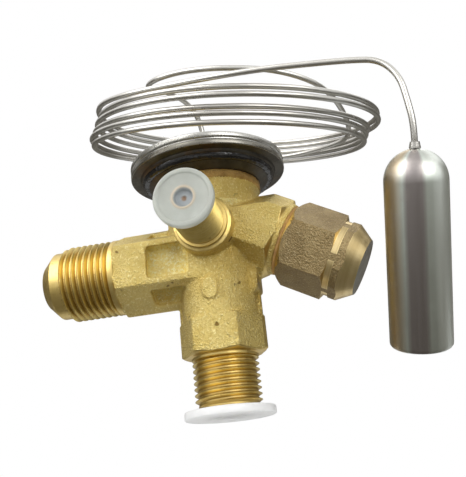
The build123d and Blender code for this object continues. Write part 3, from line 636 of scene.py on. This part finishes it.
# Threaded ends: each a turned blank with its thread wound over it
inletEnd = {
    "name": "inletEnd", "body": "housing", "slot": "forged_brass", "finishes": (inletBrass,),
    "round": 0.00012, "origin": (0, 0, 0), "way": (0, 0, 1), "threadR": 0.0079375,
    "rootR": 0.00707, "start": 0.0023, "collar": 0.0130, "face": 0.0140, "pitch": 0.001411,
    "widest": 0.0083,
    "outline": [
        (14.3, 4.8), (0.15, 4.8), (0, 4.95), (0, 5.15), (1.95, 7.07), (12.85, 7.07),
        (13.0, 7.2), (13.2, 7.94), (14.3, 7.94),
    ],
}
outletEnd = {
    "name": "outletEnd", "body": "housing", "slot": "forged_brass", "finishes": (outletBrass,),
    "round": 0.00012, "origin": (-0.0435, 0, 0.0373), "way": (1, 0, 0), "threadR": 0.009525,
    "rootR": 0.00854, "start": 0.00524, "collar": 0.0180, "face": 0.0194, "pitch": 0.0015875,
    "widest": 0.0099,
    "outline": [
        (19.7, 5.15), (0.2, 5.15), (0, 5.35), (0, 5.6), (2.94, 8.52), (17.85, 8.52),
        (18.0, 8.7), (18.25, 9.5), (19.7, 9.5),
    ],
}
equaliserEnd = {
    "name": "equaliserEnd", "body": "housing", "slot": "forged_brass",
    "finishes": (equaliserBrass,), "round": 0.00012, "origin": (0, -0.0290, 0.0435),
    "way": (0, 1, 0), "threadR": 0.005556, "rootR": 0.0048, "start": 0.0026, "collar": 0.0149,
    "face": 0.0160, "pitch": 0.00127, "widest": 0.0064,
    "outline": [
        (16.3, 2.4), (0.1, 2.4), (0, 2.5), (0, 2.9), (2.0, 4.8), (14.0, 4.8), (14.3, 5.5),
        (14.9, 5.5), (14.9, 6.15), (16.3, 6.15),
    ],
}
connections = (inletEnd, outletEnd, equaliserEnd)
threadShape = {
    # share of the pitch, then of the height
    "outline": [
        (0.0, 0), (0.10, 0), (0.43, 0.93), (0.47, 1), (0.53, 1), (0.57, 0.93), (0.90, 0), (1.0, 0),
    ],
    "sunk": 0.00002, "overrun": 0.0001, "steps": 64, "spareTurns": 3, "leadTurns": 1.5,
    "leadIn": 1.1, "crease": 50,
}


def alongAcross(look, point):
    way = Vector(look["way"])
    offset = Vector(point) - Vector(look["origin"])
    along = offset.dot(way)
    return along, offset - way * along


def addThread(look):
    pitch, root, crest = look["pitch"], look["rootR"] - threadShape["sunk"], look["threadR"]
    outline = [
        (root + (crest - root) * rise, share * pitch) for share, rise in threadShape["outline"]
    ]
    piece = drawOutline(look["name"] + "Thread", outline)
    winding = piece.modifiers.new("winding", "SCREW")
    winding.axis = "Z"
    winding.angle = 2 * math.pi
    winding.screw_offset = pitch
    turns = math.ceil((look["collar"] - look["start"]) / pitch)
    winding.iterations = turns + threadShape["spareTurns"]
    winding.steps = winding.render_steps = threadShape["steps"]
    winding.use_merge_vertices = True
    bpy.ops.object.modifier_apply(modifier="winding")
    bpy.ops.object.mode_set(mode="EDIT")
    bpy.ops.mesh.select_all(action="SELECT")
    bpy.ops.mesh.remove_doubles(threshold=workshop["join"])
    bpy.ops.mesh.normals_make_consistent(inside=False)
    bpy.ops.object.mode_set(mode="OBJECT")
    foot = look["start"] - threadShape["leadTurns"] * pitch
    piece.data.transform(Matrix.Translation((0, 0, foot)))
    cutAt(piece, (0, 0, look["start"]), (0, 0, 1), "behind")
    cutAt(piece, (0, 0, look["collar"] + threadShape["overrun"]), (0, 0, 1), "ahead")
    for corner in piece.data.vertices:
        reach = math.hypot(corner.co.x, corner.co.y)
        limit = root + (corner.co.z - look["start"]) * threadShape["leadIn"]
        if reach > limit:
            corner.co.x *= limit / reach
            corner.co.y *= limit / reach
    piece.data.transform(Matrix.Translation(look["origin"]) @ turnTo(look["way"]))
    smoothShade(piece, threadShape["crease"])
    piece.data.materials.append(threadBrass[look["name"]])
    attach(piece, look["body"])


for endLook in connections:
    turnPiece(endLook)
    addThread(endLook)
print("threaded ends cut")

# Cast body: the forging with its edges worn round, its machined faces picked out, its pocket
# floors and neck given painted light
casting = {
    "voxel": 0.00035,
    "softening": 2,
    "lip": 0.0006,
    "tuck": 0.00012,
    "stump": 0.0125,
    "slack": 0.00001,
    "reach": 0.00005,
    "margin": 0.0002,
    "body": "housing",
    "slot": "forged_brass",
    "finishes": (castBrass, collarBrass, paintedLitBrass, tintBrass),
}
plain, machined, paintedLitZone, heated = range(4)
castZones = {
    "outletFace": -0.0222, "inletFace": 0.0160, "facing": -0.3,
    "heatedAbove": 0.0550, "neckAbove": 0.0480, "neckReach": 0.0112,
    "equaliserFace": -0.0127, "equaliserWide": 0.008, "equaliserAbove": 0.035,
    "branchFace": 0.0187, "branchRight": 0.01, "branchFacing": 0.6,
    "pockets": (-0.0158, -0.005), "pocketFloor": 0.00845,
}


def bodyZone(place, normal):
    zone = castZones
    if place.x < zone["outletFace"] and normal.x < zone["facing"]:
        return machined
    if place.z < zone["inletFace"] and normal.z < zone["facing"]:
        return machined
    if place.z > zone["heatedAbove"]:
        return heated
    # painted light: the neck, in the head's shade, takes the lighter brass
    if place.z > zone["neckAbove"] and math.hypot(place.x, place.y) < zone["neckReach"]:
        return paintedLitZone
    nearEqualiser = abs(place.x) < zone["equaliserWide"] and place.z > zone["equaliserAbove"]
    if place.y < zone["equaliserFace"] and nearEqualiser:
        return machined
    branch = Vector(spindleWay)
    along = (place - Vector(spindleFoot)).dot(branch)
    if along > zone["branchFace"] and place.x > zone["branchRight"]:
        if normal.dot(branch) > zone["branchFacing"]:
            return machined
    # how far out of the arm's hexagon the face lies
    slant = math.radians(30)
    rise = abs(place.z - outletCentre[2])
    side = max(abs(place.y), abs(place.y) * math.sin(slant) + rise * math.cos(slant))
    # painted light: the pocket floors take the lighter brass
    near, far = zone["pockets"]
    return paintedLitZone if near < place.x < far and side < zone["pocketFloor"] else plain


def addCasting():
    piece = mergedCopy("valve_body", "castBody")
    piece.data.remesh_voxel_size = casting["voxel"]
    piece.data.use_remesh_preserve_volume = False
    piece.data.use_remesh_fix_poles = False
    bpy.ops.object.voxel_remesh()
    wear = piece.modifiers.new("wear", "SMOOTH")
    wear.factor = 0.5
    wear.iterations = casting["softening"]
    bpy.ops.object.modifier_apply(modifier="wear")
    for look in connections:
        way, origin = Vector(look["way"]), Vector(look["origin"])
        cutAt(piece, origin + way * (look["face"] - casting["lip"]), way)
    # the stumps past the cuts go
    for corner in piece.data.vertices:
        corner.select = False
        for look in connections:
            along, across = alongAcross(look, corner.co)
            past = along < look["face"] - casting["lip"] - casting["slack"]
            if past and across.length < casting["stump"]:
                corner.select = True
    bpy.ops.object.mode_set(mode="EDIT")
    bpy.ops.mesh.select_mode(type="VERT")
    bpy.ops.mesh.delete(type="VERT")
    bpy.ops.object.mode_set(mode="OBJECT")
    # the lip tucks under the turned end
    for corner in piece.data.vertices:
        for look in connections:
            along, across = alongAcross(look, corner.co)
            onLip = along < look["face"] + casting["reach"]
            if onLip and across.length < look["widest"] + casting["margin"]:
                corner.co -= across * (casting["tuck"] / across.length)
    piece.data.shade_smooth()
    paintFaces(piece, casting["finishes"], bodyZone)
    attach(piece, casting["body"])
    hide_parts("valve_body")
    return piece


castBody = addCasting()
print("body cast", len(castBody.data.polygons))

# Head: two cups rolled together, with sealant run round the joint below
rimBand = {"reach": 0.0192, "above": 0.0605}


def cupZone(place, normal):
    onBand = math.hypot(place.x, place.y) > rimBand["reach"] and place.z > rimBand["above"]
    return 1 if onBand else 0


lowerCup = {
    "name": "lowerCup", "node": "head_lower_cup", "body": "housing", "slot": "head_steel",
    "outline": [
        (57.1, 9.2), (57.1, 13.4), (59.85, 17.2), (60.45, 17.35), (60.45, 19.5), (60.65, 19.7),
        (61.65, 19.7), (62.0, 19.35), (62.0, 16.4), (61.11, 16.4), (58.5, 12.63), (58.5, 9.2),
    ],
    "finishes": (darkSteel, bandSteel), "steps": 128, "round": 0.00012, "zones": cupZone,
}
upperCup = {
    "name": "upperCup", "node": "head_upper_cup", "body": "housing", "slot": "head_steel",
    "round": 0.00015,
    "outline": [
        (62.25, 16.4), (62.25, 19.35), (62.6, 19.7), (63.58, 19.7), (63.88, 19.4), (63.88, 16.2),
        (64.28, 15.6), (65.6, 13.2), (66.6, 11.1), (67.15, 9.9), (67.4, 8.7), (67.4, 0.65),
        (66.1, 0.65), (66.1, 9.1), (63.58, 14.8),
    ],
    "finishes": (rimSteel,), "steps": 128,
}
sealantBead = {
    "name": "sealantBead", "node": "head_bead", "body": "housing", "slot": "head_steel",
    "outline": [(58.40, 15.2), (58.20, 15.8), (58.43, 16.4), (58.95, 16.75), (59.56, 16.8)],
    "finishes": (blackSealant,), "steps": 160, "crease": 60,
    "waves": 0.0022, "waveHeight": 0.0003,
}


def addBead(look):
    piece = turnPiece(look)
    clouds = bpy.data.textures.new("sealantWaves", "CLOUDS")
    clouds.noise_scale = look["waves"]
    ripple = piece.modifiers.new("ripple", "DISPLACE")
    ripple.texture = clouds
    ripple.strength = look["waveHeight"]
    ripple.texture_coords = "LOCAL"
    makeActive(piece)
    bpy.ops.object.modifier_apply(modifier="ripple")


turnPiece(lowerCup)
turnPiece(upperCup)
addBead(sealantBead)

# Plastic stoppers of the equaliser and the inlet
equaliserStopper = {
    "name": "equaliserStopper", "node": "equaliser_cap", "body": "equaliser_cap_body",
    "slot": "cap_plastic", "origin": equaliserCentre, "way": (0, -1, 0), "round": 0.00012,
    "outline": [
        (28.6, 3.48), (28.6, 6.5), (28.85, 6.75), (30.35, 6.75), (30.6, 6.5), (30.6, 5.8),
        (30.3, 5.5), (30.22, 2.75), (30.36, 2.5), (30.28, 2.15), (29.5, 1.85), (29.3, 1.3),
        (29.35, 0.7), (29.1, 0.35), (29.0, 0), (24.6, 0), (24.6, 1.98), (24.9, 2.28),
        (29.12, 2.28), (29.12, 2.9),
    ],
    "finishes": (capPlastic,),
}
inletStopper = {
    "name": "inletStopper", "node": "inlet_plug", "body": "inlet_plug_body",
    "slot": "cap_plastic", "round": 0.00012,
    "outline": [
        (-0.4, 4.08), (-0.4, 10.5), (-0.15, 10.75), (1.25, 10.75), (1.5, 10.5), (1.5, 6.83),
        (-0.12, 5.15), (-0.12, 4.68), (4.0, 4.68), (4.4, 4.28), (4.4, 0), (3.8, 0), (3.8, 4.08),
    ],
    "finishes": (plugPlastic,),
}
turnPiece(equaliserStopper)
turnPiece(inletStopper)

# Sensing bulb: drawn tube with a spun dome
sensingBulb = {
    "name": "sensingBulb", "node": "bulb", "body": "housing", "slot": "stainless",
    "origin": tuple(bulbTop), "way": tuple(-bulbWay), "radius": 6.35, "length": 40.0, "foot": 1.0,
    "domeAngles": (0, 6, 12, 20, 28, 36, 44, 52, 60, 68, 76, 84, 90),
    "footAngles": (0, 22, 45, 67, 90),
    "finishes": (bulbSteel,), "steps": 120, "closed": False, "crease": 60,
}


def bulbOutline(look):
    radius, length, foot = look["radius"], look["length"], look["foot"]
    points = []
    for angle in map(math.radians, look["domeAngles"]):
        points.append((radius * (1 - math.cos(angle)), radius * math.sin(angle)))
    for angle in map(math.radians, look["footAngles"]):
        along, reach = foot * math.sin(angle), foot * math.cos(angle)
        points.append((length - foot + along, radius - foot + reach))
    return points + [(length, 0)]


sensingBulb["outline"] = bulbOutline(sensingBulb)
turnPiece(sensingBulb)
print("turned pieces made")

# Seal cap: bar stock with a turned groove and a turned cone
sealCap = {
    "name": "sealCapShell", "node": "seal_cap", "body": "seal_cap_body", "slot": "bar_brass",
    "mouth": 0.0222, "groove": (0.0330, 0.0351), "cone": 0.0367, "end": 0.04035,
    "flat": 0.009308, "flatFacing": 0.02, "endFacing": 0.9, "crease": 10,
    "finishes": (capBronze, capTurned, capEnd),
}


def capZone(place, normal):
    bar, turned, endFace = range(3)
    way = Vector(spindleWay)
    offset = place - Vector(spindleFoot)
    along, facing = offset.dot(way), normal.dot(way)
    if abs(facing) < sealCap["flatFacing"] and offset.dot(normal) < sealCap["flat"]:
        return bar
    if along > sealCap["end"] and facing > sealCap["endFacing"]:
        return endFace
    low, high = sealCap["groove"]
    inGroove = low < along < high
    return turned if along < sealCap["mouth"] or inGroove or along > sealCap["cone"] else bar


def addSealCap():
    piece = mergedCopy(sealCap["node"], sealCap["name"])
    smoothShade(piece, sealCap["crease"])
    paintFaces(piece, sealCap["finishes"], capZone)
    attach(piece, sealCap["body"])
    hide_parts(sealCap["node"])


addSealCap()
print("seal cap finished")

# Nodes that keep their own shape: faces joined and shaded, each with its finish


def dress(node, finish):
    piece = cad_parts[node]
    piece.data.materials.clear()
    piece.data.materials.append(finish)
    for face in piece.data.polygons:
        face.use_smooth = True
        face.material_index = 0
    join = piece.modifiers.new("join", "WELD")
    join.merge_threshold = workshop["join"]
    crease = piece.modifiers.new("crease", "EDGE_SPLIT")
    crease.split_angle = math.radians(workshop["crease"])


plainNodes = {
    "orifice_body": inletBrass, "valve_cone": rimSteel, "spring_retainer": rimSteel,
    "cone_spring": springWire, "strainer": rimSteel, "pressure_pad": rimSteel,
    "push_pin": rimSteel, "setting_gear": inletBrass, "spring_seat": inletBrass,
    "superheat_spring": springWire, "setting_spindle": spindleBrass,
    "spindle_gland": spindleBrass, "spindle_seal_ring": sealRubber,
    "seal_cap_gasket": gasketFibre, "diaphragm": rimSteel, "capillary_ferrule": tubeSteel,
    "bulb_ferrule": tubeSteel,
}
for node, finish in plainNodes.items():
    dress(node, finish)
print("nodes dressed")

# Room: pale floor, white surround, soft lamps
room = {
    "floorZ": -0.045,
    "floorSize": 4.0,
    "floorColour": (0.82, 0.82, 0.81, 1),
    "floorRoughness": 0.9,
    "floorGlow": 0.5,
    "surround": (0.62, 0.63, 0.64, 1),
    "surroundLevel": 0.74,
    "boardColour": (0.16, 0.15, 0.13, 1),
    "boardRoughness": 1,
    "aim": (0.005, 0, 0.04),
}


def addRoom():
    bpy.ops.object.select_all(action="DESELECT")
    bpy.ops.mesh.primitive_plane_add(size=room["floorSize"], location=(0, 0, room["floorZ"]))
    floor = bpy.context.active_object
    floor.name = "floor"
    paint = bpy.data.materials.new("floorPaint")
    paint.use_nodes = True
    tree = paint.node_tree
    shader = tree.nodes["Principled BSDF"]
    shader.inputs["Base Color"].default_value = room["floorColour"]
    shader.inputs["Roughness"].default_value = room["floorRoughness"]
    shader.inputs["Emission Color"].default_value = (1, 1, 1, 1)
    ray = tree.nodes.new("ShaderNodeLightPath")
    glow = rangeOf(tree, ray.outputs["Is Camera Ray"], 0, room["floorGlow"], 0, 1)
    tree.links.new(glow, shader.inputs["Emission Strength"])
    floor.data.materials.append(paint)


def addSurround():
    # white to the eye and in mirrors, plain grey as light
    world = bpy.data.worlds.new("surround")
    scene.world = world
    world.use_nodes = True
    tree = world.node_tree
    light, out = tree.nodes["Background"], tree.nodes["World Output"]
    light.inputs["Color"].default_value = room["surround"]
    light.inputs["Strength"].default_value = room["surroundLevel"]
    white = tree.nodes.new("ShaderNodeBackground")
    white.inputs["Color"].default_value = (1, 1, 1, 1)
    ray = tree.nodes.new("ShaderNodeLightPath")
    seen = ray.outputs["Is Camera Ray"]
    for other in ("Is Glossy Ray", "Is Transmission Ray"):
        either = tree.nodes.new("ShaderNodeMath")
        either.operation = "MAXIMUM"
        tree.links.new(seen, either.inputs[0])
        tree.links.new(ray.outputs[other], either.inputs[1])
        seen = either.outputs[0]
    mix = tree.nodes.new("ShaderNodeMixShader")
    tree.links.new(seen, mix.inputs["Fac"])
    tree.links.new(light.outputs[0], mix.inputs[1])
    tree.links.new(white.outputs[0], mix.inputs[2])
    tree.links.new(mix.outputs[0], out.inputs["Surface"])


lamps = [
    {"name": "keyLamp", "place": (-0.26, -0.30, 0.34), "size": 0.42, "power": 1.75},
    {"name": "fillLamp", "place": (0.30, -0.34, 0.16), "size": 0.30, "power": 0.9},
    {"name": "backLamp", "place": (0.05, 0.35, 0.40), "size": 0.30, "power": 0.4},
]
# dim boards that only the metal mirrors
boards = [
    {"name": "boardBelow", "place": (0.02, -0.10, -0.040), "face": (0, 0, 1), "size": (0.6, 0.3)},
    {"name": "boardRight", "place": (0.26, 0.06, 0.02), "face": (-1, -0.2, 0),
     "size": (0.16, 0.34)},
    {"name": "boardBack", "place": (0.0, 0.30, 0.10), "face": (0, -1, 0), "size": (0.9, 0.5)},
    {"name": "boardLeft", "place": (-0.30, 0.06, 0.05), "face": (1, 0, 0), "size": (0.3, 0.3)},
]


def addLamp(look):
    data = bpy.data.lights.new(look["name"], "AREA")
    data.shape = "SQUARE"
    data.size = look["size"]
    data.energy = look["power"]
    lamp = bpy.data.objects.new(look["name"], data)
    scene.collection.objects.link(lamp)
    aim = Vector(room["aim"]) - Vector(look["place"])
    turn = aim.to_track_quat("-Z", "Y").to_matrix().to_4x4()
    lamp.matrix_world = Matrix.Translation(look["place"]) @ turn


def addBoard(look, paint):
    bpy.ops.object.select_all(action="DESELECT")
    bpy.ops.mesh.primitive_plane_add(size=1)
    board = bpy.context.active_object
    board.name = look["name"]
    wide, tall = look["size"]
    size = Matrix.Diagonal((wide, tall, 1, 1))
    board.data.transform(Matrix.Translation(look["place"]) @ turnTo(look["face"]) @ size)
    board.data.materials.append(paint)
    for kind in ("camera", "diffuse", "transmission", "volume_scatter", "shadow"):
        setattr(board, "visible_" + kind, False)


addRoom()
addSurround()
for lampLook in lamps:
    addLamp(lampLook)
boardPaint = bpy.data.materials.new("boardPaint")
boardPaint.use_nodes = True
boardShader = boardPaint.node_tree.nodes["Principled BSDF"]
boardShader.inputs["Base Color"].default_value = room["boardColour"]
boardShader.inputs["Roughness"].default_value = room["boardRoughness"]
for boardLook in boards:
    addBoard(boardLook, boardPaint)
print("room lit")
